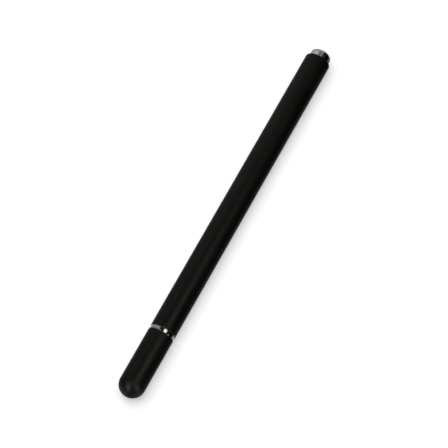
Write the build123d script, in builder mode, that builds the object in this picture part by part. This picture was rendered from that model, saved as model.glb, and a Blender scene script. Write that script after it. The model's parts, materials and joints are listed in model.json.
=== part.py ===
"""A slim stylus pen for touch screens, lying on a table with its cap on.

A matt black metal barrel carries a bright trim ring and a nose at the front and a bright plug at the tail.
A magnetic cap with a round end covers the nib, which is a clear disc that swivels on a ball.
The nib unscrews from the nose.
Lengths are in millimetres. The pen axis runs along X, the cap end at -X, and the table is the plane Z = 0.
"""

import os
from math import cos, degrees, pi, radians, sin, tau

from build123d import *

# Barrel: a straight tube, its tail edge rounded over
barrel_diameter = 9.0
barrel_length = 112.1
barrel_wall = 0.8
barrel_front_chamfer = 0.15
barrel_tail_round = 0.8

# Trim ring between barrel and cap
ring_width = 1.3
ring_inset = 0.18
ring_chamfer = 0.12

# Tail plug: a thimble whose bright end stands out of the barrel as a stub for the cap
stub_length = 3.05
stub_round = 1.5
stub_relief = 0.03
tail_plug_depth = 8.0
tail_plug_wall = 0.98
tail_end_wall = 0.8
tail_magnet_length = 4.0
tail_core_length = 4.0

# Nose: screwed into a bush in the barrel, it holds the trim ring and carries the nose magnet
front_bush_length = 9.0
front_bush_wall = 0.5
front_bush_inset = 0.2
nose_thread_pitch = 0.5
nose_thread_turns = 16
nose_flange_width = 0.9
nose_magnet_length = 2.0
nose_magnet_wall = 0.9
nose_cone_length = 4.0
nose_front_radius = 1.7

# Nib holder: a small turned screw with a knurled grip
nib_thread_radius = 1.0
nib_thread_pitch = 0.4
nib_thread_turns = 10
nib_bore_runout = 0.6
grip_length = 1.8
holder_cone_length = 2.4
holder_front_radius = 0.95
knurl_count = 20
knurl_size = 0.16

# Rubber ring that keeps the nib from working loose
seal_section_radius = 0.28

# Ball stem and the disc that swivels on it
stem_radius = 0.45
stem_depth = 3.0
neck_length = 1.4
ball_radius = 0.95
socket_wall = 0.32
socket_front_wall = 0.17
socket_lip_land = 0.12
socket_lip_setback = 0.35
socket_lip_angle = 62.0
disc_thickness = 0.5
disc_rim_round = 0.18
disc_collar_wall = 0.35
disc_collar_height = 0.25
film_radius = 1.9
film_thickness = 0.1

# Cap: a thin shell with a round end, lined, with a ring magnet behind its mouth
cap_length = 23.5
cap_wall = 0.45
cap_mouth_chamfer = 0.15
cap_bush_inset = 0.1
cap_bush_lead = 0.12
cap_magnet_length = 3.0
cap_magnet_wall = 0.83
cap_liner_wall = 0.5
magnet_chamfer = 0.12

# Fits, all on the radius or along the axis
glue_gap = 0.02
thread_clearance = 0.03
ring_clearance = 0.05
slip_clearance = 0.06
stem_clearance = 0.02
ball_clearance = 0.03
seal_clearance = 0.02
nib_pass_clearance = 0.2
magnet_gap = 0.1
seam_gap = 0.05

# Shares that keep an edge treatment inside its wall, and the depth of a thread in pitches
edge_limit_share = 0.95
thread_depth_share = 0.55

# Radii worked out from the barrel inwards
barrel_radius = barrel_diameter / 2
axis_height = barrel_radius
bore_radius = barrel_radius - barrel_wall
plug_radius = bore_radius - glue_gap
stub_radius = plug_radius - stub_relief
tail_cavity_radius = plug_radius - tail_plug_wall
nose_thread_radius = plug_radius - front_bush_wall - thread_clearance
nose_pilot_radius = plug_radius - nose_magnet_wall - glue_gap
cap_bore_radius = barrel_radius - cap_wall
cap_lining_radius = cap_bore_radius - glue_gap
cap_magnet_bore_radius = cap_lining_radius - cap_magnet_wall
disc_radius = cap_magnet_bore_radius - nib_pass_clearance
ball_cavity_radius = ball_radius + ball_clearance
socket_radius = ball_cavity_radius + socket_wall
socket_hole_radius = socket_radius + glue_gap
seal_centre_radius = nib_thread_radius + ring_clearance + seal_section_radius

# Stations along the axis, from the cap's tip to the tail
overall_length = cap_length + seam_gap + ring_width + barrel_length + stub_length
x_tip = -overall_length / 2
x_dome = x_tip + barrel_radius
x_mouth = x_tip + cap_length
x_ring = x_mouth + seam_gap
x_front = x_ring + ring_width
x_back = x_front + barrel_length
x_tail = x_back + stub_length

# Stations of the nose and the nib, from the trim ring forwards
nose_thread_length = nose_thread_turns * nose_thread_pitch
nib_thread_length = nib_thread_turns * nib_thread_pitch
x_flange = x_ring - nose_flange_width
x_nose_magnet = x_flange - nose_magnet_length
x_nose_front = x_nose_magnet - nose_cone_length
x_seal = x_nose_front - seal_section_radius - seal_clearance
x_shoulder = x_seal - seal_section_radius - seal_clearance
x_grip = x_shoulder - grip_length
x_holder_front = x_grip - holder_cone_length
x_ball = x_holder_front - neck_length
x_socket_front = x_ball - ball_cavity_radius - socket_front_wall
x_disc_front = x_socket_front - film_thickness
x_disc_back = x_disc_front + disc_thickness

# Stations of the cap's inside, from its mouth forwards
x_cap_bush = x_mouth - cap_bush_inset
x_cap_magnet = x_nose_magnet - magnet_gap
x_cap_liner = x_cap_magnet - cap_magnet_length

# The plane that holds half profiles, and the axis that they turn about
pen_plane = Plane(origin=(0, 0, axis_height), x_dir=(1, 0, 0), z_dir=(0, -1, 0))
pen_axis = Axis((0, 0, axis_height), (1, 0, 0))


def across(x):
    """The plane square to the pen axis at station x, facing the tail."""
    return Plane(origin=(x, 0, axis_height), x_dir=(0, 1, 0), z_dir=(1, 0, 0))


def rims(part):
    """The round edges of a turned part, widest last."""
    return part.edges().filter_by(GeomType.CIRCLE).group_by(SortBy.RADIUS)


def thread_profile(x_start, turns, radius, pitch):
    """Half profile of a thread from a station towards the tail: root, crest, root, one pitch to a turn."""
    root = radius - pitch * thread_depth_share
    points = [(x_start, root)]
    for turn in range(turns):
        x_root = x_start + turn * pitch
        points += [(x_root + pitch / 2, radius), (x_root + pitch, root)]
    return points


# Barrel tube, the length of the pen between ring and tail
with BuildPart() as barrel_tube:
    with BuildSketch(across(x_front)):
        Circle(barrel_radius)
        Circle(bore_radius, mode=Mode.SUBTRACT)
    extrude(amount=barrel_length)
    tail_round = min(barrel_tail_round, barrel_wall * edge_limit_share)
    fillet(rims(barrel_tube)[-1].sort_by(Axis.X)[-1], tail_round)
    chamfer(rims(barrel_tube)[-1].sort_by(Axis.X)[0], barrel_front_chamfer)
barrel_tube.part.label = "barrel_tube"

# Front bush, glued into the barrel, with the thread that takes the nose
with BuildPart() as front_bush:
    with BuildSketch(across(x_front + front_bush_inset)):
        Circle(plug_radius)
        Circle(nose_thread_radius + thread_clearance, mode=Mode.SUBTRACT)
    extrude(amount=front_bush_length)
front_bush.part.label = "front_bush"

# Trim ring, clamped between the barrel's front face and the nose's flange
with BuildPart() as trim_ring:
    with BuildSketch(across(x_ring)):
        Circle(barrel_radius - ring_inset)
        Circle(nose_thread_radius + ring_clearance, mode=Mode.SUBTRACT)
    extrude(amount=ring_width)
    chamfer(rims(trim_ring)[-1], ring_chamfer)
trim_ring.part.label = "trim_ring"

# Nose: threaded shank, flange, pilot for the magnet and a cone with the nib's bore
with BuildPart() as nose:
    with BuildSketch(pen_plane):
        with BuildLine():
            Polyline(
                (x_nose_front, 0),
                (x_nose_front, nose_front_radius),
                (x_nose_magnet, nose_pilot_radius),
                (x_flange, nose_pilot_radius),
                (x_flange, plug_radius),
                (x_ring, plug_radius),
                (x_ring, nose_thread_radius),
                (x_front, nose_thread_radius),
                *thread_profile(x_front, nose_thread_turns, nose_thread_radius, nose_thread_pitch),
                (x_front + nose_thread_length, 0),
                close=True,
            )
        make_face()
    revolve(axis=pen_axis)
    with BuildSketch(across(x_nose_front)):
        Circle(nib_thread_radius + thread_clearance)
    extrude(amount=nib_thread_length + nib_bore_runout, mode=Mode.SUBTRACT)
nose.part.label = "nose"

# Nose magnet, a plated ring on the nose's pilot
with BuildPart() as nose_magnet:
    with BuildSketch(across(x_nose_magnet)):
        Circle(plug_radius)
        Circle(nose_pilot_radius + glue_gap, mode=Mode.SUBTRACT)
    extrude(amount=nose_magnet_length)
    chamfer(rims(nose_magnet)[-1], magnet_chamfer)
nose_magnet.part.label = "nose_magnet"

# Tail plug, a thimble pressed into the barrel with its closed end outside
with BuildPart() as tail_plug:
    with BuildSketch(across(x_back - tail_plug_depth)):
        Circle(plug_radius)
    extrude(amount=tail_plug_depth)
    with BuildSketch(across(x_back)):
        Circle(stub_radius)
    extrude(amount=stub_length)
    fillet(tail_plug.edges().filter_by(GeomType.CIRCLE).sort_by(Axis.X)[-1], stub_round)
    with BuildSketch(across(x_back - tail_plug_depth)):
        Circle(tail_cavity_radius)
    extrude(amount=tail_plug_depth + stub_length - tail_end_wall, mode=Mode.SUBTRACT)
tail_plug.part.label = "tail_plug"

# Tail magnet, a disc against the inside of the tail plug's end
with BuildPart() as tail_magnet:
    with BuildSketch(across(x_tail - tail_end_wall - tail_magnet_length)):
        Circle(tail_cavity_radius - glue_gap)
    extrude(amount=tail_magnet_length)
    chamfer(tail_magnet.edges().filter_by(GeomType.CIRCLE), magnet_chamfer)
tail_magnet.part.label = "tail_magnet"

# Tail core, the plug that holds the tail magnet in its thimble
with BuildPart() as tail_core:
    with BuildSketch(across(x_tail - tail_end_wall - tail_magnet_length - tail_core_length)):
        Circle(tail_cavity_radius - glue_gap)
    extrude(amount=tail_core_length)
tail_core.part.label = "tail_core"

# Nib holder: thread, knurled grip and cone, bored for the ball stem
with BuildPart() as nib_holder:
    with BuildSketch(pen_plane):
        with BuildLine():
            Polyline(
                (x_holder_front, 0),
                (x_holder_front, holder_front_radius),
                (x_grip, nose_front_radius),
                (x_shoulder, nose_front_radius),
                (x_shoulder, nib_thread_radius),
                (x_nose_front, nib_thread_radius),
                *thread_profile(x_nose_front, nib_thread_turns, nib_thread_radius, nib_thread_pitch),
                (x_nose_front + nib_thread_length, 0),
                close=True,
            )
        make_face()
    revolve(axis=pen_axis)
    with BuildSketch(across(x_holder_front)):
        Circle(stem_radius + stem_clearance)
    extrude(amount=stem_depth + stem_clearance, mode=Mode.SUBTRACT)
    with BuildSketch(across(x_grip)):
        with PolarLocations(nose_front_radius, knurl_count):
            Rectangle(knurl_size, knurl_size, rotation=degrees(pi / 4))
    extrude(amount=grip_length, mode=Mode.SUBTRACT)
nib_holder.part.label = "nib_holder"

# Nib seal, a rubber ring between the nose and the nib holder's shoulder
with BuildPart() as nib_seal_ring:
    with BuildSketch(pen_plane):
        with Locations((x_seal, seal_centre_radius)):
            Circle(seal_section_radius)
    revolve(axis=pen_axis)
nib_seal_ring.part.label = "nib_seal_ring"

# Ball stem, a polished pin with the ball that the disc swivels on
with BuildPart() as ball_stem:
    with BuildSketch(across(x_ball)):
        Circle(stem_radius)
    extrude(amount=neck_length + stem_depth)
    with Locations((x_ball, 0, axis_height)):
        Sphere(ball_radius)
ball_stem.part.label = "ball_stem"

# Disc socket, a conductive cup snapped over the ball past its widest part
lip_angle = radians(socket_lip_angle)
lip_mid_angle = (lip_angle + pi) / 2
lip_x = x_ball + ball_cavity_radius * cos(lip_angle)
lip_radius = ball_cavity_radius * sin(lip_angle)
with BuildPart() as disc_socket:
    with BuildSketch(pen_plane):
        with BuildLine():
            Polyline(
                (x_ball - ball_cavity_radius, 0),
                (x_socket_front, 0),
                (x_socket_front, socket_radius),
                (lip_x - socket_lip_setback, socket_radius),
                (lip_x, lip_radius + socket_lip_land),
                (lip_x, lip_radius),
            )
            ThreePointArc(
                (lip_x, lip_radius),
                (x_ball + ball_cavity_radius * cos(lip_mid_angle), ball_cavity_radius * sin(lip_mid_angle)),
                (x_ball - ball_cavity_radius, 0),
            )
        make_face()
    revolve(axis=pen_axis)
disc_socket.part.label = "disc_socket"

# Nib disc, clear and flat, with a collar round the socket and a recess for the contact film
with BuildPart() as nib_disc:
    with BuildSketch(across(x_disc_front)):
        Circle(disc_radius)
    extrude(amount=disc_thickness)
    fillet(rims(nib_disc)[-1], min(disc_rim_round, disc_thickness * edge_limit_share / 2))
    with BuildSketch(across(x_disc_back)):
        Circle(socket_hole_radius + disc_collar_wall)
    extrude(amount=disc_collar_height)
    with BuildSketch(across(x_disc_front)):
        Circle(socket_hole_radius)
    extrude(amount=disc_thickness + disc_collar_height, mode=Mode.SUBTRACT)
    with BuildSketch(across(x_disc_front)):
        Circle(film_radius + glue_gap)
    extrude(amount=film_thickness, mode=Mode.SUBTRACT)
nib_disc.part.label = "nib_disc"

# Contact film, the conductive foil that lies flush in the disc's face
with BuildPart() as contact_film:
    with BuildSketch(across(x_disc_front)):
        Circle(film_radius)
    extrude(amount=film_thickness)
contact_film.part.label = "contact_film"

# Cap shell: a straight tube closed by half a sphere
dome_mid_share = cos(pi / 4)
with BuildPart() as cap_shell:
    with BuildSketch(pen_plane):
        with BuildLine():
            ThreePointArc(
                (x_tip, 0),
                (x_dome - barrel_radius * dome_mid_share, barrel_radius * dome_mid_share),
                (x_dome, barrel_radius),
            )
            Polyline(
                (x_dome, barrel_radius),
                (x_mouth, barrel_radius),
                (x_mouth, cap_bore_radius),
                (x_dome, cap_bore_radius),
            )
            ThreePointArc(
                (x_dome, cap_bore_radius),
                (x_dome - cap_bore_radius * dome_mid_share, cap_bore_radius * dome_mid_share),
                (x_dome - cap_bore_radius, 0),
            )
            Line((x_dome - cap_bore_radius, 0), (x_tip, 0))
        make_face()
    revolve(axis=pen_axis)
    chamfer(rims(cap_shell)[-1].sort_by(Axis.X)[-1], cap_mouth_chamfer)
cap_shell.part.label = "cap_shell"

# Cap mouth bush, which slides over the nose's spigot or the tail stub
with BuildPart() as cap_mouth_bush:
    with BuildSketch(across(x_cap_magnet)):
        Circle(cap_lining_radius)
        Circle(plug_radius + slip_clearance, mode=Mode.SUBTRACT)
    extrude(amount=x_cap_bush - x_cap_magnet)
    chamfer(rims(cap_mouth_bush)[0].sort_by(Axis.X)[-1], cap_bush_lead)
cap_mouth_bush.part.label = "cap_mouth_bush"

# Cap magnet, a plated ring wide enough for the disc to pass
with BuildPart() as cap_magnet:
    with BuildSketch(across(x_cap_liner)):
        Circle(cap_lining_radius)
        Circle(cap_magnet_bore_radius, mode=Mode.SUBTRACT)
    extrude(amount=cap_magnet_length)
    chamfer(rims(cap_magnet)[0], magnet_chamfer)
cap_magnet.part.label = "cap_magnet"

# Cap liner, a sleeve from the magnet to the start of the round end
with BuildPart() as cap_liner:
    with BuildSketch(across(x_dome)):
        Circle(cap_lining_radius)
        Circle(cap_lining_radius - cap_liner_wall, mode=Mode.SUBTRACT)
    extrude(amount=x_cap_liner - x_dome)
cap_liner.part.label = "cap_liner"

pieces = [
    barrel_tube,
    front_bush,
    trim_ring,
    nose,
    nose_magnet,
    tail_plug,
    tail_magnet,
    tail_core,
    nib_holder,
    nib_seal_ring,
    ball_stem,
    disc_socket,
    nib_disc,
    contact_film,
    cap_shell,
    cap_mouth_bush,
    cap_magnet,
    cap_liner,
]
os.makedirs("parts", exist_ok=True)
for piece in pieces:
    export_step(piece.part, f"parts/{piece.part.label}.step")

print(f"overall length {overall_length:.3f}, ring face {x_ring:.3f}, ball centre {x_ball:.3f}")
print(f"screw lead {nib_thread_pitch / tau:.6f} mm per radian over {nib_thread_length:.3f} mm")
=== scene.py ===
"""Stylus pen, lying capped on a white table: every piece as a turned surface with its own finish.

Metres, in the part's own frame: the pen axis runs along X, the cap's tip at -X, and the table is Z = 0.
"""

import json

import bpy
import numpy as np
from mathutils import Matrix, Vector


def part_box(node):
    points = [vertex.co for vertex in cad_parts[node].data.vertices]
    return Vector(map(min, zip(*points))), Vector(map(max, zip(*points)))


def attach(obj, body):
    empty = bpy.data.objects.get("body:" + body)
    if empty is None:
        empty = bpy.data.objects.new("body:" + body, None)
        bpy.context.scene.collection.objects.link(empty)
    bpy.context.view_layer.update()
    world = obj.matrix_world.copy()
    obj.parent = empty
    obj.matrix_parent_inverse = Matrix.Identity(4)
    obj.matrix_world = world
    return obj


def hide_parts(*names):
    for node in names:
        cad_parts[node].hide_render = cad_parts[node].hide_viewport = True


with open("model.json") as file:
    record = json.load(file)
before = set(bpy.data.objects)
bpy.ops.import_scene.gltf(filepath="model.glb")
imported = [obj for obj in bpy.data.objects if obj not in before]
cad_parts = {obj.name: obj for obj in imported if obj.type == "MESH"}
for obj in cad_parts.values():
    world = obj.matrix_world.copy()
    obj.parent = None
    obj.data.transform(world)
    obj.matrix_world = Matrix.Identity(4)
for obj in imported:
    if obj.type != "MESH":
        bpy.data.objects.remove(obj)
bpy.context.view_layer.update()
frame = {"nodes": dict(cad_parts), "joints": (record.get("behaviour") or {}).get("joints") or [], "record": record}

# Barrel: the long straight tube that the hand holds, drawn from aluminium, blasted with fine grit and
# anodised black. Its front edge is broken by a small rounding, and its tail edge is rolled in towards the
# plug that closes it.
mm = 0.001
axis_height = frame["record"]["mounts"][0]["pos_m"][2]  # the record's one mount lies on the pen axis
broken_edge = 0.05 * mm  # an edge that is only broken, by a file, a brush or the mould


def span(node):
    """First and last station of a CAD node along the pen, and the largest radius it has about the axis."""
    low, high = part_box(node)
    return low.x, high.x, max(high.y, -low.y, high.z - axis_height, axis_height - low.z)


def profile(*corners):
    """Half profile through corners of (station, radius, rounding), as rows of station, radius and edge.

    A corner with a rounding becomes an arc tangent to both its sides. Its chords stay within half a micron
    of it, since a chord strays from its arc by an eighth of the rounding times the square of the angle it
    spans. One more row beyond each end of the arc keeps the straight run straight where it is shaded. Edge
    is 1 along a sharp arc, falls off as the rounding grows, and is 0 elsewhere. A profile with an end on
    the pen axis has both there; any other closes on itself.
    """
    chord_error = 0.0005 * mm
    same_spot = chord_error / 10
    fewest_points = 3
    hold_share = 0.08
    sharp = 0.15 * mm
    spots = np.array([corner[:2] for corner in corners], float)
    rows = []
    for here, back, ahead, corner in zip(spots, np.roll(spots, 1, 0), np.roll(spots, -1, 0), corners):
        if len(corner) == 2:
            rows.append([[*here, 0]])
            continue
        rounding = corner[2]
        to_back, to_ahead = [(far - here) / np.linalg.norm(far - here) for far in (back, ahead)]
        half = np.arccos(np.clip(to_back @ to_ahead, -1, 1)) / 2
        turn = np.pi - 2 * half
        reach = rounding / np.tan(half)
        inwards = (to_back + to_ahead) / np.linalg.norm(to_back + to_ahead)
        centre = here + inwards * rounding / np.sin(half)
        chord_turn = np.sqrt(8 * chord_error / rounding)
        swing = np.linspace(0, turn, int(turn / chord_turn) + fewest_points)[:, None]
        first = here + to_back * reach - centre
        last = here + to_ahead * reach - centre
        arc = centre + (np.sin(turn - swing) * first + np.sin(swing) * last) / np.sin(turn)
        hold = reach + hold_share * rounding
        before, after = [
            [[*(here + to_far * hold), 0]] if hold < np.linalg.norm(far - here) / 2 else np.empty((0, 3))
            for to_far, far in ((to_back, back), (to_ahead, ahead))
        ]
        edge = np.full(len(arc), min(sharp / rounding, 1))
        rows += [before, np.c_[arc, edge], after]
    half_profile = np.vstack(rows)
    half_profile[:, 1] = np.where(np.abs(half_profile[:, 1]) < chord_error, 0, half_profile[:, 1])
    steps = np.linalg.norm(np.diff(half_profile[:, :2], axis=0, prepend=np.inf), axis=1)
    return half_profile[steps > same_spot]


def turned(name, half_profile, sides=160, relief=0.0):
    """Turns a half profile once round the pen axis.

    The point of row i at angle a is (x, r cos a, axis height + r sin a), where x is the row's station and r
    its radius plus the relief at i and a. Ends on the axis become poles; a profile clear of the axis closes
    on itself.
    """
    stations, radii, edges = half_profile.T
    angles = np.linspace(0, 2 * np.pi, sides, endpoint=False)
    reach = radii[:, None] + relief * np.ones(sides)
    across = reach * np.cos(angles)
    up = axis_height + reach * np.sin(angles)
    grid = np.stack(np.broadcast_arrays(stations[:, None], across, up), -1)
    has_poles = radii[0] == 0 and radii[-1] == 0
    rings = grid[1:-1] if has_poles else grid
    places = np.arange(len(rings) * sides).reshape(-1, sides)
    this, following = (places[:-1], places[1:]) if has_poles else (places, np.roll(places, -1, 0))
    corners = [this, np.roll(this, -1, 1), np.roll(following, -1, 1), following]
    faces = np.stack(corners, -1).reshape(-1, 4).tolist()
    points = rings.reshape(-1, 3)
    # The edge rows become a point attribute that paints the black skin paler at sharp edges: rubbed wear and a
    # painted highlight.
    wear = np.repeat(edges[1:-1] if has_poles else edges, sides)
    if has_poles:
        first = np.full(sides, places.size)
        last = np.full(sides, places.size + 1)
        faces += np.stack([first, np.roll(places[0], -1), places[0]], -1).tolist()
        faces += np.stack([places[-1], np.roll(places[-1], -1), last], -1).tolist()
        points = np.vstack([points, grid[0, 0], grid[-1, 0]])
        wear = np.append(wear, [0, 0])
    mesh = bpy.data.meshes.new(name)
    mesh.from_pydata(points.tolist(), [], faces)
    mesh.shade_smooth()
    mesh.attributes.new("edge", "FLOAT", "POINT").data.foreach_set("value", wear.astype(np.float32))
    piece = bpy.data.objects.new(name, mesh)
    bpy.context.scene.collection.objects.link(piece)
    return piece


def linear(colour):
    """An sRGB hex colour as linear red, green, blue and alpha, by the standard's curve."""
    shares = np.array([int(colour[i : i + 2], 16) / 255 for i in (1, 3, 5)])
    light = np.where(shares <= 0.04045, shares / 12.92, ((shares + 0.055) / 1.055) ** 2.4)
    return (*light.tolist(), 1.0)


def add(tree, kind, inputs=None, **settings):
    """Adds a shader node: settings go to the node, and each input takes a value or a link from a socket.

    Sockets that share a name go by number: a colour Mix takes its share at 0 and its two colours at 6 and
    7, and gives the mix at output 2.
    """
    node = tree.nodes.new("ShaderNode" + kind)
    for key, value in settings.items():
        setattr(node, key, value)
    for key, value in (inputs or {}).items():
        if isinstance(value, bpy.types.NodeSocket):
            tree.links.new(value, node.inputs[key])
        else:
            node.inputs[key].default_value = value
    return node


def new_material(name):
    """An empty material with its node tree."""
    material = bpy.data.materials.new(name)
    material.use_nodes = True
    material.node_tree.nodes.clear()
    return material, material.node_tree


# Black anodised aluminium: a soft, nearly black skin that drinks light face on and turns dark grey where it
# is seen at a slant, with a fine blasted grain and faint patches. Its edges are painted a little paler, partly
# as rubbed wear and partly as a painted highlight that the rounded edges catch.
black_anodised, tree = new_material("black anodised aluminium, grit blasted")
grit = 0.12 * mm  # real grit leaves pits of about 0.05 mm, drawn coarser so that the grain shows
pit_depth = 0.015 * mm
handled_patch = 9 * mm
place = add(tree, "TexCoord").outputs["Object"]
grain = add(tree, "TexNoise", {"Vector": place, "Scale": 1 / grit, "Detail": 3.0, "Roughness": 0.6})
cloud = add(tree, "TexNoise", {"Vector": place, "Scale": 1 / handled_patch, "Detail": 2.0})
edge = add(tree, "Attribute", attribute_name="edge")
# The sharp edges get a paler colour: partly rubbed wear, partly a painted highlight.
rubbed_and_highlit_edges = add(tree, "Math", {0: edge.outputs["Fac"], 1: grain.outputs["Fac"]}, operation="MULTIPLY")
dye_and_painted_highlight = add(tree, "Mix", {0: rubbed_and_highlit_edges.outputs[0], 6: linear("#191917"), 7: linear("#454442")}, data_type="RGBA")
sheen = add(
    tree,
    "MapRange",
    {"Value": cloud.outputs["Fac"], "From Min": 0.3, "From Max": 0.7, "To Min": 0.37, "To Max": 0.43},
)
pits = add(tree, "Bump", {"Height": grain.outputs["Fac"], "Strength": 0.7, "Distance": pit_depth})
skin = add(
    tree,
    "BsdfPrincipled",
    {
        "Base Color": dye_and_painted_highlight.outputs[2],
        "Metallic": 0.8,
        "Roughness": sheen.outputs[0],
        "Specular IOR Level": 0.05,
        "Specular Tint": linear("#c7c7c7"),
        "Normal": pits.outputs[0],
    },
)
add(tree, "OutputMaterial", {"Surface": skin.outputs[0]})

x_front, x_back, barrel_radius = span("barrel_tube")
barrel_wall = 0.8 * mm
barrel_bore = barrel_radius - barrel_wall
barrel_front_round = 0.14 * mm
barrel_tail_round = 0.76 * mm
barrel_lip_round = 0.02 * mm
barrel = turned(
    "barrel",
    profile(
        (x_front, barrel_radius, barrel_front_round),
        (x_back, barrel_radius, barrel_tail_round),
        (x_back, barrel_bore, barrel_lip_round),
        (x_front, barrel_bore, broken_edge),
    ),
)
barrel.data.materials.append(black_anodised)
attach(barrel, "barrel")
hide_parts("barrel_tube")

# Front bush: a turned brass sleeve glued inside the barrel's mouth, tapped to take the nose. It stays
# hidden, so its plain solid is kept and only gets its metal.
brass_feed = 0.12 * mm  # the real rings lie about 0.05 mm apart, drawn coarser so that they show
brass_cut_depth = 0.01 * mm
tarnish_patch = 2.5 * mm


def lathe_lines(tree, place, feed):
    """Marks that run round the pen axis, about a feed apart.

    They are noise of a single number, the station along the axis plus the distance from it.
    """
    centred = add(tree, "Mapping", {"Vector": place, "Location": (0, 0, -axis_height), "Scale": (0, 1, 1)})
    off_axis = add(tree, "VectorMath", {0: centred.outputs[0]}, operation="LENGTH")
    station = add(tree, "SeparateXYZ", {0: place})
    run = add(tree, "Math", {0: station.outputs["X"], 1: off_axis.outputs["Value"]}, operation="ADD")
    inputs = {"W": run.outputs[0], "Scale": 1 / feed, "Detail": 2.0}
    marks = add(tree, "TexNoise", inputs, noise_dimensions="1D")
    return marks.outputs["Fac"]


# Turned brass: a warm yellow metal with the fine rings that the tool leaves, tarnished browner in patches.
brass, tree = new_material("turned brass")
place = add(tree, "TexCoord").outputs["Object"]
lines = lathe_lines(tree, place, brass_feed)
tarnish = add(tree, "TexNoise", {"Vector": place, "Scale": 1 / tarnish_patch, "Detail": 4.0})
yellow = add(
    tree,
    "Mix",
    {0: tarnish.outputs["Fac"], 6: linear("#cfae63"), 7: linear("#b08c48")},
    data_type="RGBA",
)
cuts = add(tree, "Bump", {"Height": lines, "Strength": 0.25, "Distance": brass_cut_depth})
metal = add(
    tree,
    "BsdfPrincipled",
    {"Base Color": yellow.outputs[2], "Metallic": 1.0, "Roughness": 0.32, "Normal": cuts.outputs[0]},
)
add(tree, "OutputMaterial", {"Surface": metal.outputs[0]})
bush = frame["nodes"]["front_bush"]
bush.data.materials.clear()
bush.data.materials.append(brass)

# Trim ring: a narrow bright band turned from brass and plated with chrome, clamped between the barrel and the
# nose. It sits slightly below the black skins beside it, so its rounded edges lie in shade.
x_ring, ring_back, ring_radius = span("trim_ring")
ring_bore = 3.2 * mm
ring_front_round = 0.1 * mm
ring_back_round = 0.12 * mm

# Polished chrome plate: a cool, dark mirror with faint rings from the polishing wheel and patches gone dull.
chrome, tree = new_material("polished chrome plate")
polish_line = 0.09 * mm  # marks of a polishing wheel, drawn wider than they are so that they show
polish_depth = 0.005 * mm
smear_patch = 1.6 * mm
place = add(tree, "TexCoord").outputs["Object"]
lines = lathe_lines(tree, place, polish_line)
smear = add(tree, "TexNoise", {"Vector": place, "Scale": 1 / smear_patch, "Detail": 3.0})
dulled = add(
    tree,
    "MapRange",
    {"Value": smear.outputs["Fac"], "From Min": 0.35, "From Max": 0.75, "To Min": 0.09, "To Max": 0.15},
)
marks = add(tree, "Bump", {"Height": lines, "Strength": 0.08, "Distance": polish_depth})
plate = add(
    tree,
    "BsdfPrincipled",
    {
        "Base Color": linear("#838381"),
        "Metallic": 1.0,
        "Roughness": dulled.outputs[0],
        "Normal": marks.outputs[0],
    },
)
add(tree, "OutputMaterial", {"Surface": plate.outputs[0]})

ring = turned(
    "trim_ring_band",
    profile(
        (x_ring, ring_radius, ring_front_round),
        (ring_back, ring_radius, ring_back_round),
        (ring_back, ring_bore, broken_edge),
        (x_ring, ring_bore, broken_edge),
    ),
)
ring.data.materials.append(chrome)
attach(ring, "barrel")
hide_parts("trim_ring")

# Nose: turned from brass and chrome plated like the ring, screwed into the front bush. In front of the
# flange that clamps the trim ring it has a seat for the magnet and a cone, bored and tapped for the nib.
x_nose, nose_back, flange_radius = span("nose")
x_magnet, x_flange, magnet_radius = span("nose_magnet")
nose_front_radius = 1.7 * mm
nose_pilot = 2.76 * mm
shank_radius = 3.15 * mm
nib_bore = 1.03 * mm
nib_bore_depth = 4.6 * mm
bore_end = x_nose + nib_bore_depth
bore_mouth_round = 0.06 * mm
nose_end_round = 0.12 * mm
flange_round = 0.08 * mm
tool_corner = 0.03 * mm  # what a tool's tip leaves in an inner corner
thread_pitch = 0.5 * mm
thread_depth = 0.275 * mm
thread_rows = 12  # rows of points to one turn of the thread
nose_sides = 160


def finer(half_profile, start, end, step):
    """The half profile with more rows, a step apart, along its longest straight run from start to end."""
    stations = half_profile[:, 0]
    runs = np.diff(stations) * (stations[:-1] > start - step) * (stations[1:] < end + step)
    row = np.argmax(runs)
    share = np.linspace(0, 1, int(runs[row] / step) + 2)[1:-1, None]
    more = (1 - share) * half_profile[row] + share * half_profile[row + 1]
    return np.insert(half_profile, row + 1, more, axis=0)


def thread(half_profile, sides, start, end, pitch, depth):
    """How far a right-hand thread cuts into a turned piece, for each row and angle, from start to end.

    The crest is a helix that climbs one pitch in a turn. The cut is a triangle wave of the distance along
    the axis from that helix, as deep as depth halfway between two turns, and it runs out within half a
    pitch of both ends.
    """
    stations = half_profile[:, :1]
    climb = (stations - start) / pitch - np.linspace(0, 1, sides, endpoint=False)
    run_out = np.clip(np.minimum(stations - start, end - stations) / (pitch / 2), 0, 1)
    return -depth * run_out * (1 - np.abs(2 * (climb % 1) - 1))


nose_half = profile(
    (bore_end, 0),
    (bore_end, nib_bore, broken_edge),
    (x_nose, nib_bore, bore_mouth_round),
    (x_nose, nose_front_radius, nose_end_round),
    (x_magnet, nose_pilot, broken_edge),
    (x_flange, nose_pilot, tool_corner),
    (x_flange, flange_radius, flange_round),
    (x_ring, flange_radius, broken_edge),
    (x_ring, shank_radius, tool_corner),
    (nose_back, shank_radius, nose_end_round),
    (nose_back, 0),
)
nose_half = finer(nose_half, x_ring, nose_back, thread_pitch / thread_rows)
shank_thread = thread(nose_half, nose_sides, x_front, nose_back, thread_pitch, thread_depth)
nose = turned("nose_cone", nose_half, nose_sides, shank_thread)
nose.data.materials.append(chrome)
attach(nose, "barrel")
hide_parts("nose")

# Nose magnet: a ring pressed and sintered from magnet powder and plated with nickel. It is glued on the
# nose's seat, where it pulls the cap home.
magnet_bore = 2.78 * mm
magnet_round = 0.12 * mm

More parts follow.
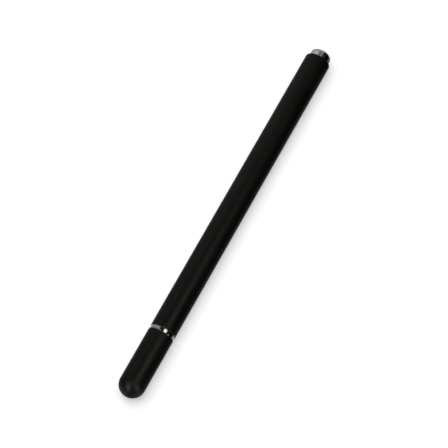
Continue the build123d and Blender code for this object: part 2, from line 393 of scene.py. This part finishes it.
# Nickel plate over a sintered magnet: a bright, slightly warm metal, hazy where it follows the dimples.
nickel, tree = new_material("nickel plated magnet")
dimple = 0.4 * mm
dimple_depth = 0.01 * mm
place = add(tree, "TexCoord").outputs["Object"]
orange_peel = add(tree, "TexNoise", {"Vector": place, "Scale": 1 / dimple, "Detail": 3.0})
haze = add(
    tree,
    "MapRange",
    {"Value": orange_peel.outputs["Fac"], "From Min": 0.3, "From Max": 0.7, "To Min": 0.16, "To Max": 0.26},
)
dimples = add(tree, "Bump", {"Height": orange_peel.outputs["Fac"], "Strength": 0.1, "Distance": dimple_depth})
plate = add(
    tree,
    "BsdfPrincipled",
    {
        "Base Color": linear("#c2bcb0"),
        "Metallic": 1.0,
        "Roughness": haze.outputs[0],
        "Normal": dimples.outputs[0],
    },
)
add(tree, "OutputMaterial", {"Surface": plate.outputs[0]})

nose_magnet = turned(
    "nose_magnet_ring",
    profile(
        (x_magnet, magnet_radius, magnet_round),
        (x_flange, magnet_radius, magnet_round),
        (x_flange, magnet_bore, broken_edge),
        (x_magnet, magnet_bore, broken_edge),
    ),
)
nose_magnet.data.materials.append(nickel)
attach(nose_magnet, "barrel")
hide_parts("nose_magnet")

# Tail plug: a chromed thimble pressed into the barrel's tail. Its closed end stands out as a bright stub
# with a rolled edge, and the cap goes over it while the pen is used.
x_plug, x_tail, plug_radius = span("tail_plug")
stub_relief = 0.03 * mm
stub_radius = plug_radius - stub_relief
stub_round = 1.5 * mm
plug_wall = 0.98 * mm
plug_end_wall = 0.8 * mm
plug_lead = 0.1 * mm
crisp_edge = 0.01 * mm
cavity_radius = plug_radius - plug_wall
cavity_end = x_tail - plug_end_wall
plug = turned(
    "tail_stub",
    profile(
        (cavity_end, 0),
        (cavity_end, cavity_radius, broken_edge),
        (x_plug, cavity_radius, broken_edge),
        (x_plug, plug_radius, plug_lead),
        (x_back, plug_radius, crisp_edge),
        (x_back, stub_radius, crisp_edge),
        (x_tail, stub_radius, stub_round),
        (x_tail, 0),
    ),
)
plug.data.materials.append(chrome)
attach(plug, "barrel")
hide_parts("tail_plug")

# Tail magnet and tail core: a nickel plated disc magnet inside the thimble, and the plug of black plastic
# that is glued in behind it. Both stay hidden, so their plain solids are kept and only get their materials.

# Black moulded ABS: a dull black plastic with the mould's fine texture, a little shinier where it flowed.
black_plastic, tree = new_material("black moulded ABS")
mould_grain = 0.25 * mm
mould_depth = 0.02 * mm
flow_patch = 4 * mm
place = add(tree, "TexCoord").outputs["Object"]
mould = add(tree, "TexNoise", {"Vector": place, "Scale": 1 / mould_grain, "Detail": 2.0})
flow = add(tree, "TexNoise", {"Vector": place, "Scale": 1 / flow_patch, "Detail": 2.0})
gloss = add(
    tree,
    "MapRange",
    {"Value": flow.outputs["Fac"], "From Min": 0.3, "From Max": 0.7, "To Min": 0.42, "To Max": 0.55},
)
texture = add(tree, "Bump", {"Height": mould.outputs["Fac"], "Strength": 0.2, "Distance": mould_depth})
body = add(
    tree,
    "BsdfPrincipled",
    {
        "Base Color": linear("#1b1b1c"),
        "Roughness": gloss.outputs[0],
        "IOR": 1.54,
        "Normal": texture.outputs[0],
    },
)
add(tree, "OutputMaterial", {"Surface": body.outputs[0]})
for node, material in (("tail_magnet", nickel), ("tail_core", black_plastic)):
    hidden = frame["nodes"][node]
    hidden.data.materials.clear()
    hidden.data.materials.append(material)

# Nib seal: a small moulded ring of nitrile rubber on the nib's thread, squeezed when the nib is screwed
# home so that it cannot work loose.
x_seal, seal_back, seal_radius = span("nib_seal_ring")
seal_section = (seal_back - x_seal) / 2
seal_rows = 48
fine_sides = 128  # sides enough for the small turned pieces at the nib

# Nitrile rubber: a matt near-black, a little grey where it has bloomed and gathered dust.
rubber, tree = new_material("nitrile rubber")
bloom_patch = 0.3 * mm
bloom_depth = 0.01 * mm
place = add(tree, "TexCoord").outputs["Object"]
bloom = add(tree, "TexNoise", {"Vector": place, "Scale": 1 / bloom_patch, "Detail": 3.0})
dust = add(
    tree,
    "Mix",
    {0: bloom.outputs["Fac"], 6: linear("#141414"), 7: linear("#242322")},
    data_type="RGBA",
)
matt = add(tree, "Bump", {"Height": bloom.outputs["Fac"], "Strength": 0.15, "Distance": bloom_depth})
body = add(
    tree,
    "BsdfPrincipled",
    {"Base Color": dust.outputs[2], "Roughness": 0.62, "IOR": 1.52, "Normal": matt.outputs[0]},
)
add(tree, "OutputMaterial", {"Surface": body.outputs[0]})

# The half profile is a whole circle of the section's radius, clear of the axis.
swing = np.linspace(0, 2 * np.pi, seal_rows, endpoint=False)
seal_half = np.stack(
    [
        x_seal + seal_section - seal_section * np.cos(swing),
        seal_radius - seal_section + seal_section * np.sin(swing),
        np.zeros_like(swing),
    ],
    -1,
)
seal = turned("nib_seal", seal_half, fine_sides)
seal.data.materials.append(rubber)
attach(seal, "nib_seal")
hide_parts("nib_seal_ring")

# Nib holder: a screw turned from stainless steel, with a grooved grip for the fingers and a cone that
# carries the ball stem. Its thread is cut as a real right-hand helix.
x_holder, holder_back, grip_radius = span("nib_holder")
cone_length = 2.4 * mm
head_length = 4.2 * mm
x_grip = x_holder + cone_length
x_shoulder = x_holder + head_length
holder_front_radius = 0.95 * mm
stem_bore = 0.47 * mm
stem_bore_depth = 3.02 * mm
stem_bore_end = x_holder + stem_bore_depth
stem_bore_round = 0.04 * mm
holder_end_round = 0.08 * mm
grip_front_round = 0.06 * mm
screw_radius = 1.0 * mm
screw_pitch = 0.4 * mm
screw_depth = 0.22 * mm
screw_rows = 14
grip_step = 0.1 * mm
knurl_count = 20
knurl_depth = 0.113 * mm
knurl_sides = 12  # sides of the turned surface to one groove
holder_sides = knurl_sides * knurl_count

# Turned stainless steel: a light grey metal with close rings from the tool, worn duller in places.
steel, tree = new_material("turned stainless steel")
steel_feed = 0.06 * mm  # the real rings lie about 0.03 mm apart, drawn coarser so that they show
steel_cut_depth = 0.005 * mm
worn_patch = 0.8 * mm
place = add(tree, "TexCoord").outputs["Object"]
lines = lathe_lines(tree, place, steel_feed)
worn = add(tree, "TexNoise", {"Vector": place, "Scale": 1 / worn_patch, "Detail": 3.0})
dulled = add(
    tree,
    "MapRange",
    {"Value": worn.outputs["Fac"], "From Min": 0.3, "From Max": 0.7, "To Min": 0.2, "To Max": 0.3},
)
cuts = add(tree, "Bump", {"Height": lines, "Strength": 0.15, "Distance": steel_cut_depth})
metal = add(
    tree,
    "BsdfPrincipled",
    {
        "Base Color": linear("#c4c2be"),
        "Metallic": 1.0,
        "Roughness": dulled.outputs[0],
        "Normal": cuts.outputs[0],
    },
)
add(tree, "OutputMaterial", {"Surface": metal.outputs[0]})

holder_half = profile(
    (stem_bore_end, 0),
    (stem_bore_end, stem_bore, tool_corner),
    (x_holder, stem_bore, stem_bore_round),
    (x_holder, holder_front_radius, holder_end_round),
    (x_grip, grip_radius, grip_front_round),
    (x_shoulder, grip_radius, holder_end_round),
    (x_shoulder, screw_radius, tool_corner),
    (x_nose, screw_radius),
    (holder_back, screw_radius, broken_edge),
    (holder_back, 0),
)
holder_half = finer(holder_half, x_nose, holder_back, screw_pitch / screw_rows)
holder_half = finer(holder_half, x_grip, x_shoulder, grip_step)
stations, radii, _ = holder_half.T[:, :, None]
# Each groove is a V with walls at 45 degrees: its depth falls by the distance round the grip from its
# middle, which is first worked out as a share of the spacing between two grooves.
across_groove = np.abs((np.arange(holder_sides) / holder_sides * knurl_count + 0.5) % 1 - 0.5)
groove = np.maximum(knurl_depth - across_groove * 2 * np.pi * grip_radius / knurl_count, 0)
on_grip = (stations > x_grip) & (stations < x_shoulder) & (radii > grip_radius - knurl_depth)
nib_thread = thread(holder_half, holder_sides, x_nose, holder_back, screw_pitch, screw_depth)
holder = turned("nib_screw", holder_half, holder_sides, nib_thread - groove * on_grip)
holder.data.materials.append(steel)
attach(holder, "nib")
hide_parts("nib_holder")

# Ball stem: a steel pin turned with a ball at its end and polished, pressed into the nib holder. The disc
# swivels on the ball.
_, stem_end, ball_radius = span("ball_stem")
x_ball = frame["joints"][-1]["pos_m"][0]  # the disc tilts about the ball's centre
stem_radius = 0.45 * mm
stem_end_round = 0.06 * mm
ball_rows = 64

# Polished steel: a bright, neutral mirror, hazed in places by the fine scuffs that the turning socket leaves.
mirror_steel, tree = new_material("polished steel ball")
scuff = 0.3 * mm
place = add(tree, "TexCoord").outputs["Object"]
scuffs = add(tree, "TexNoise", {"Vector": place, "Scale": 1 / scuff, "Detail": 4.0})
dulled = add(
    tree,
    "MapRange",
    {"Value": scuffs.outputs["Fac"], "From Min": 0.35, "From Max": 0.7, "To Min": 0.06, "To Max": 0.14},
)
metal = add(
    tree,
    "BsdfPrincipled",
    {"Base Color": linear("#cac9c7"), "Metallic": 1.0, "Roughness": dulled.outputs[0]},
)
add(tree, "OutputMaterial", {"Surface": metal.outputs[0]})

# The half profile is an arc of the ball's circle, from its pole to where the pin leaves it, and then the pin.
swing = np.linspace(0, np.pi - np.arcsin(stem_radius / ball_radius), ball_rows)
ball_arc = np.stack([x_ball - ball_radius * np.cos(swing), ball_radius * np.sin(swing), 0 * swing], -1)
stem_run = profile((x_ball, stem_radius), (stem_end, stem_radius, stem_end_round), (stem_end, 0))[1:]
ball = turned("ball_pin", np.vstack([ball_arc, stem_run]), fine_sides)
ball.data.materials.append(mirror_steel)
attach(ball, "ball")
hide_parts("ball_stem")

# Disc socket: a cup moulded from carbon-filled plastic, which carries the touch signal from the disc to the
# pen. Its lip snaps over the ball past the ball's widest part.
x_socket, x_lip, socket_radius = span("disc_socket")
ball_clearance = 0.03 * mm
cavity = ball_radius + ball_clearance
lip_angle = np.arccos((x_lip - x_ball) / cavity)
lip_radius = cavity * np.sin(lip_angle)
lip_setback = 0.35 * mm
lip_land = 0.12 * mm
lip_round = 0.04 * mm
cup_front_round = 0.06 * mm
cup_back_round = 0.08 * mm
cavity_rows = 56

# Carbon filled polycarbonate: a dark grey plastic with a soft gloss and flecks a little paler than the rest.
carbon_plastic, tree = new_material("carbon filled polycarbonate")
fleck = 0.12 * mm  # real flecks are a few hundredths of a millimetre, drawn coarser so that they show
fleck_depth = 0.01 * mm
place = add(tree, "TexCoord").outputs["Object"]
flecks = add(tree, "TexNoise", {"Vector": place, "Scale": 1 / fleck, "Detail": 2.0})
grey = add(
    tree,
    "Mix",
    {0: flecks.outputs["Fac"], 6: linear("#1d1d1f"), 7: linear("#39393b")},
    data_type="RGBA",
)
bump = add(tree, "Bump", {"Height": flecks.outputs["Fac"], "Strength": 0.1, "Distance": fleck_depth})
body = add(
    tree,
    "BsdfPrincipled",
    {"Base Color": grey.outputs[2], "Roughness": 0.38, "IOR": 1.58, "Normal": bump.outputs[0]},
)
add(tree, "OutputMaterial", {"Surface": body.outputs[0]})

# The outside goes from the front face to the lip, and the inside is an arc of the ball's circle, let out by
# the clearance, from the lip back to the axis.
cup_outside = profile(
    (x_socket, 0),
    (x_socket, socket_radius, cup_front_round),
    (x_lip - lip_setback, socket_radius, cup_back_round),
    (x_lip, lip_radius + lip_land, lip_round),
    (x_lip, lip_radius),
)
swing = np.linspace(lip_angle, np.pi, cavity_rows)[1:]
cup_inside = np.stack([x_ball + cavity * np.cos(swing), cavity * np.sin(swing), 0 * swing], -1)
cup_inside[-1, 1] = 0
cup = turned("socket_cup", np.vstack([cup_outside, cup_inside]), fine_sides)
cup.data.materials.append(carbon_plastic)
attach(cup, "disc")
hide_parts("disc_socket")

# Nib disc: a thin clear disc moulded from polycarbonate, which lies flat on the glass and shows the point
# of the line through it. Its collar is glued round the socket.
x_disc, collar_back, disc_radius = span("nib_disc")
x_film, film_back, film_radius = span("contact_film")
glue_gap = 0.02 * mm
disc_thickness = 0.5 * mm
disc_round = 0.18 * mm
collar_wall = 0.35 * mm
collar_round = 0.06 * mm
collar_bore_round = 0.03 * mm
disc_back = x_disc + disc_thickness
hole_radius = socket_radius + glue_gap
collar_radius = hole_radius + collar_wall
recess_radius = film_radius + glue_gap

# Clear polycarbonate: clear as glass with a breath of blue, bright at its rim, and hazed by fine scratches.
clear_plastic, tree = new_material("clear polycarbonate")
scratch_patch = 0.5 * mm
place = add(tree, "TexCoord").outputs["Object"]
scratches = add(
    tree,
    "TexNoise",
    {"Vector": place, "Scale": 1 / scratch_patch, "Detail": 5.0, "Distortion": 1.5},
)
wear = add(
    tree,
    "MapRange",
    {"Value": scratches.outputs["Fac"], "From Min": 0.45, "From Max": 0.75, "To Min": 0.03, "To Max": 0.16},
)
clear = add(
    tree,
    "BsdfPrincipled",
    {"Base Color": linear("#eef3f4"), "Roughness": wear.outputs[0], "IOR": 1.585, "Transmission Weight": 1.0},
)
add(tree, "OutputMaterial", {"Surface": clear.outputs[0]})

disc = turned(
    "clear_disc",
    profile(
        (x_disc, recess_radius, crisp_edge),
        (x_disc, disc_radius, disc_round),
        (disc_back, disc_radius, disc_round),
        (disc_back, collar_radius, collar_round),
        (collar_back, collar_radius, collar_round),
        (collar_back, hole_radius, collar_bore_round),
        (film_back, hole_radius, crisp_edge),
        (film_back, recess_radius, crisp_edge),
    ),
)
disc.data.materials.append(clear_plastic)
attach(disc, "disc")
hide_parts("nib_disc")

# Contact film: a round punched from aluminium foil and glued into the recess in the disc's face. It lies on
# the glass and closes the circuit with the screen.
film_round = 0.02 * mm

# Rolled aluminium foil: a pale grey metal, part shiny and part dull in long streaks the way it was rolled.
foil, tree = new_material("rolled aluminium foil")
streak_length = 2 * mm
streak_shape = 12.0  # how many times longer than wide a streak is
streak_depth = 0.01 * mm
place = add(tree, "TexCoord").outputs["Object"]
rolled = add(tree, "Mapping", {"Vector": place, "Scale": (1.0, 1.0, streak_shape)})
streaks = add(tree, "TexNoise", {"Vector": rolled.outputs[0], "Scale": 1 / streak_length, "Detail": 3.0})
dulled = add(
    tree,
    "MapRange",
    {"Value": streaks.outputs["Fac"], "From Min": 0.3, "From Max": 0.7, "To Min": 0.22, "To Max": 0.36},
)
bump = add(tree, "Bump", {"Height": streaks.outputs["Fac"], "Strength": 0.12, "Distance": streak_depth})
metal = add(
    tree,
    "BsdfPrincipled",
    {
        "Base Color": linear("#cfcfd2"),
        "Metallic": 1.0,
        "Roughness": dulled.outputs[0],
        "Normal": bump.outputs[0],
    },
)
add(tree, "OutputMaterial", {"Surface": metal.outputs[0]})

film = turned(
    "foil_contact",
    profile(
        (x_film, 0),
        (x_film, film_radius, film_round),
        (film_back, film_radius, film_round),
        (film_back, 0),
    ),
    fine_sides,
)
film.data.materials.append(foil)
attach(film, "disc")
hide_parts("contact_film")

# Cap: a thin cup deep drawn from aluminium with a half-round end, blasted and anodised with the barrel. It
# pulls straight off over the nib.
x_tip, x_mouth, cap_radius = span("cap_shell")
cap_wall = 0.45 * mm
cap_bore = cap_radius - cap_wall
x_inner_tip = x_tip + cap_wall
pole_flat = 0.001 * mm  # leaves each side of the round end's corner a hair of length at the pole
mouth_round = 0.14 * mm
mouth_bore_round = 0.06 * mm
cap = turned(
    "cap",
    profile(
        (x_tip, 0),
        (x_tip, cap_radius, cap_radius - pole_flat),
        (x_mouth, cap_radius, mouth_round),
        (x_mouth, cap_bore, mouth_bore_round),
        (x_inner_tip, cap_bore, cap_bore - pole_flat),
        (x_inner_tip, 0),
    ),
)
cap.data.materials.append(black_anodised)
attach(cap, "cap")
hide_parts("cap_shell")

# Cap lining: a moulded bush in the mouth that slides over the nose, a nickel plated ring magnet behind it,
# and a moulded sleeve from the magnet to the round end. All three are glued into the cap.
bush_bore = 3.74 * mm
bush_lead = 0.1 * mm
cap_magnet_bore = 3.2 * mm
sleeve_bore = 3.53 * mm
linings = (
    ("cap_bush", "cap_mouth_bush", bush_bore, bush_lead, black_plastic, "inner_plastic"),
    ("cap_ring_magnet", "cap_magnet", cap_magnet_bore, magnet_round, nickel, "nickel_magnet"),
    ("cap_sleeve", "cap_liner", sleeve_bore, broken_edge, black_plastic, "inner_plastic"),
)
for name, node, bore, bore_round, material, slot in linings:
    lining_front, lining_back, lining_radius = span(node)
    lining = turned(
        name,
        profile(
            (lining_front, lining_radius, broken_edge),
            (lining_back, lining_radius, broken_edge),
            (lining_back, bore, bore_round),
            (lining_front, bore, broken_edge),
        ),
    )
    lining.data.materials.append(material)
    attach(lining, "cap")
    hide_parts(node)

# Table: a sheet of cast white acrylic, sanded matt and far wider than the picture. The pen lies loose on
# it, and it is lit a little from below as well.
table_reach = 4.0
table_rows = 9
table_drop = 0.01 * mm  # keeps the sheet just clear of the pen's lowest line

# Matt white acrylic: an even, nearly pure white with no shine. Its glow is weaker in the pen's mirror,
# where all of it would turn the flanks grey.
white_acrylic, tree = new_material("matt white acrylic")
cloudiness = 20 * mm
glow_seen = 0.465
glow_mirrored = 0.29
place = add(tree, "TexCoord").outputs["Object"]
speckle = add(tree, "TexNoise", {"Vector": place, "Scale": 1 / cloudiness, "Detail": 2.0})
white = add(
    tree,
    "Mix",
    {0: speckle.outputs["Fac"], 6: linear("#f3f3f3"), 7: linear("#f6f6f6")},
    data_type="RGBA",
)
mirrored_ray = add(tree, "LightPath").outputs["Is Glossy Ray"]
lift = add(tree, "MapRange", {"Value": mirrored_ray, "To Min": glow_seen, "To Max": glow_mirrored})
sheet = add(
    tree,
    "BsdfPrincipled",
    {
        "Base Color": white.outputs[2],
        "Roughness": 0.7,
        "Specular IOR Level": 0.1,
        "Emission Color": linear("#ffffff"),
        "Emission Strength": lift.outputs[0],
    },
)
add(tree, "OutputMaterial", {"Surface": sheet.outputs[0]})

steps = np.linspace(-table_reach, table_reach, table_rows)
sheet_x, sheet_y = np.meshgrid(steps, steps, indexing="ij")
spots = np.stack([sheet_x, sheet_y, np.full_like(sheet_x, -table_drop)], -1).reshape(-1, 3)
corner = np.arange(spots.shape[0]).reshape(sheet_x.shape)
squares = np.stack([corner[:-1, :-1], corner[1:, :-1], corner[1:, 1:], corner[:-1, 1:]], -1).reshape(-1, 4)
table_mesh = bpy.data.meshes.new("table")
table_mesh.from_pydata(spots.tolist(), [], squares.tolist())
table_mesh.materials.append(white_acrylic)
table = bpy.data.objects.new("table", table_mesh)
bpy.context.scene.collection.objects.link(table)

# Camera: stands 613 mm off, high above the cap's end and a little to the pen's right, and looks down along
# the pen. Its long lens keeps the far end nearly as wide as the near one.
view_elevation = np.radians(67.07)
view_turn = np.radians(27.83)
view_distance = 0.613
sight = np.array([-0.77 * mm, 1.03 * mm, 0.0])  # the spot on the table in the middle of the picture
level = np.cos(view_elevation)
towards = np.array([level * np.cos(view_turn), level * np.sin(view_turn), -np.sin(view_elevation)])
camera_data = bpy.data.cameras.new("camera")
camera_data.lens = 147.07
camera_data.sensor_width = 36.0
camera_data.clip_start = 0.01
camera_data.clip_end = 20.0
camera = bpy.data.objects.new("camera", camera_data)
bpy.context.scene.collection.objects.link(camera)
camera.location = Vector(sight - view_distance * towards)
camera.rotation_euler = Vector(towards).to_track_quat("-Z", "Y").to_euler()
bpy.context.scene.camera = camera

# Studio: panels of soft white light stand round the pen in a dark room, each where one part of the pen
# mirrors it. Black, grey and white cards lie on the table for the same reason. A wide lamp high above,
# which the pen does not mirror, lights the table.


def panel(name, middle, size, radiance, along=(1, 0, 0), mirrored=True):
    """A rectangular lamp of the given radiance that faces the pen from middle.

    Its first side runs as near along the given direction as it can, and its power is its radiance times pi
    times its area. The pen mirrors it, or else it only lights the table.
    """
    lamp = bpy.data.lights.new(name, "AREA")
    lamp.shape = "RECTANGLE"
    lamp.size, lamp.size_y = size
    lamp.energy = radiance * np.pi * size[0] * size[1]
    stand = bpy.data.objects.new(name, lamp)
    bpy.context.scene.collection.objects.link(stand)
    out = Vector(middle).normalized()
    side = (Vector(along) - out * out.dot(Vector(along))).normalized()
    turn = np.array([side, out.cross(side), out]).T
    stand.matrix_world = Matrix.Translation(Vector(middle)) @ Matrix(turn.tolist()).to_4x4()
    stand.visible_camera = False
    stand.visible_glossy = mirrored
    stand.visible_diffuse = not mirrored


def seen_at(angle, distance, start):
    """The spot that the pen mirrors to the camera where its skin is turned by half of angle from the sight.

    The turn is about the pen axis, to the right where angle is positive. The mirrored ray keeps the sight's
    part along the axis, and the rest of it is turned by angle. The spot lies a distance along the ray from
    station start.
    """
    back = -towards
    tall = np.hypot(back[1], back[2])
    upright = np.array([0, back[1], back[2]]) / tall
    right = np.array([0, -upright[2], upright[1]])
    swing = np.radians(angle)
    ray = np.array([-back[0], 0, 0]) + tall * (np.cos(swing) * upright + np.sin(swing) * right)
    return np.array([start, 0, axis_height]) + distance * ray


# A large panel on the left gives the black skin its broad, soft sheen.
panel("left panel", seen_at(-69, 1.0, start=0.30), size=(1.7, 1.36), radiance=0.84)

# A panel and three strips above the tail draw the light and dark bands on the bright stub.
tail_stand = 0.8
tail_start = 0.117
tail_length = 0.134
panel("tail panel", seen_at(-60, tail_stand, tail_start), size=(tail_length, 1.1), radiance=0.95)
for angle, width, radiance in ((-16, 0.32, 0.65), (2, 0.23, 0.63), (17, 0.23, 0.1)):
    strip_spot = seen_at(angle, tail_stand, tail_start)
    panel("tail edge strip", strip_spot, size=(tail_length, width), radiance=radiance)

# Three more, further beyond the tail, show only in the rounded rims of the stub and the barrel.
panel("tail rim strip", seen_at(-2, tail_stand, start=0.50), size=(0.5, 0.3), radiance=1.4)
panel("low tail panel", (0.95, 0.12, 0.24), size=(0.75, 0.42), radiance=1.0, along=(0, 1, 0))
panel("tail flank panel", seen_at(-105, tail_stand, start=0.40), size=(0.5, 0.5), radiance=1.1)

# A small bright panel above the cap makes the light spot on the ring and the faint streak along the cap.
panel("cap panel", seen_at(16, 0.35, start=-0.155), size=(0.255, 0.15), radiance=4.2)

# A tall strip and a small lamp before the round end make its two highlights.
panel("front strip", (-0.53, 0.145, 0.427), size=(0.8, 0.08), radiance=28.0, along=(0.58, 0.38, 0.72))
panel("front right lamp", (-0.288, -0.592, 0.23), size=(0.2, 0.2), radiance=15.0)

# A faint ceiling keeps the darkest parts from going quite black, and the wide lamp above it lights the table.
panel("ceiling", (0.0, 0.0, 1.4), size=(6.0, 6.0), radiance=0.043)
panel("table light", (0.0, 0.45, 3.0), size=(3.0, 3.0), radiance=2.56, mirrored=False)


def card(name, corners_x, corners_y, height, shader, inputs):
    """A flat card at a height above the table, faced with one shader node, that only the pen mirrors."""
    mesh = bpy.data.meshes.new(name)
    mesh.from_pydata([(x, y, height) for x, y in zip(corners_x, corners_y)], [], [range(len(corners_x))])
    face, tree = new_material(name)
    add(tree, "OutputMaterial", {"Surface": add(tree, shader, inputs).outputs[0]})
    mesh.materials.append(face)
    board = bpy.data.objects.new(name, mesh)
    bpy.context.scene.collection.objects.link(board)
    board.visible_camera = False
    board.visible_diffuse = False
    board.visible_shadow = False


# Black card: swallows light, so the pen's right flank stays dark. Behind the tail its near edge steps back.
flag_near = -15 * mm
flag_tail = -26 * mm
flag_front = -0.4
flag_reach = 1.5
flag_height = 0.1 * mm
card_step = 0.02 * mm  # each kind of card lies this much above the last, where they overlap
flag_x = (flag_front, flag_reach, flag_reach, x_tail, x_tail, flag_front)
flag_y = (-flag_reach, -flag_reach, flag_tail, flag_tail, flag_near, flag_near)
card("black card", flag_x, flag_y, flag_height, "BsdfDiffuse", {"Color": linear("#050505")})

# Grey card: fills that step with a middle grey, which shows in the right end of the stub.
grey_front = x_tail - 1 * mm
grey_back = x_tail + 0.2
grey_near = -3 * mm
grey_x = (grey_front, grey_back, grey_back, grey_front)
grey_y = (flag_tail, flag_tail, grey_near, grey_near)
card("grey card", grey_x, grey_y, flag_height + card_step, "BsdfDiffuse", {"Color": linear("#b0b0b0")})

# White cards: glowing cards that stand in for brightly lit white paper, on both sides of the round end. The
# pen mirrors their glow as a pale line inside its lower rim.
white_height = flag_height + 2 * card_step
white_glow = {"Color": linear("#ffffff"), "Strength": 2.0}
for name, front, back, right, left in (
    ("left white card", -95 * mm, -71 * mm, 1 * mm, 30 * mm),
    ("right white card", -80 * mm, -66.5 * mm, -30 * mm, -6 * mm),
):
    card(name, (front, back, back, front), (right, right, left, left), white_height, "Emission", white_glow)

# The room is dark to the pen and the table, and pale to a camera that looks past the table's edge.
room = bpy.data.worlds.new("room")
room.use_nodes = True
room.node_tree.nodes.clear()
glow = add(room.node_tree, "Background", {"Color": linear("#ffffff"), "Strength": 0.8})
add(room.node_tree, "OutputWorld", {"Surface": glow.outputs[0]})
bpy.context.scene.world = room
room.cycles_visibility.glossy = False
room.cycles_visibility.diffuse = False
bpy.context.scene.view_settings.view_transform = "Standard"
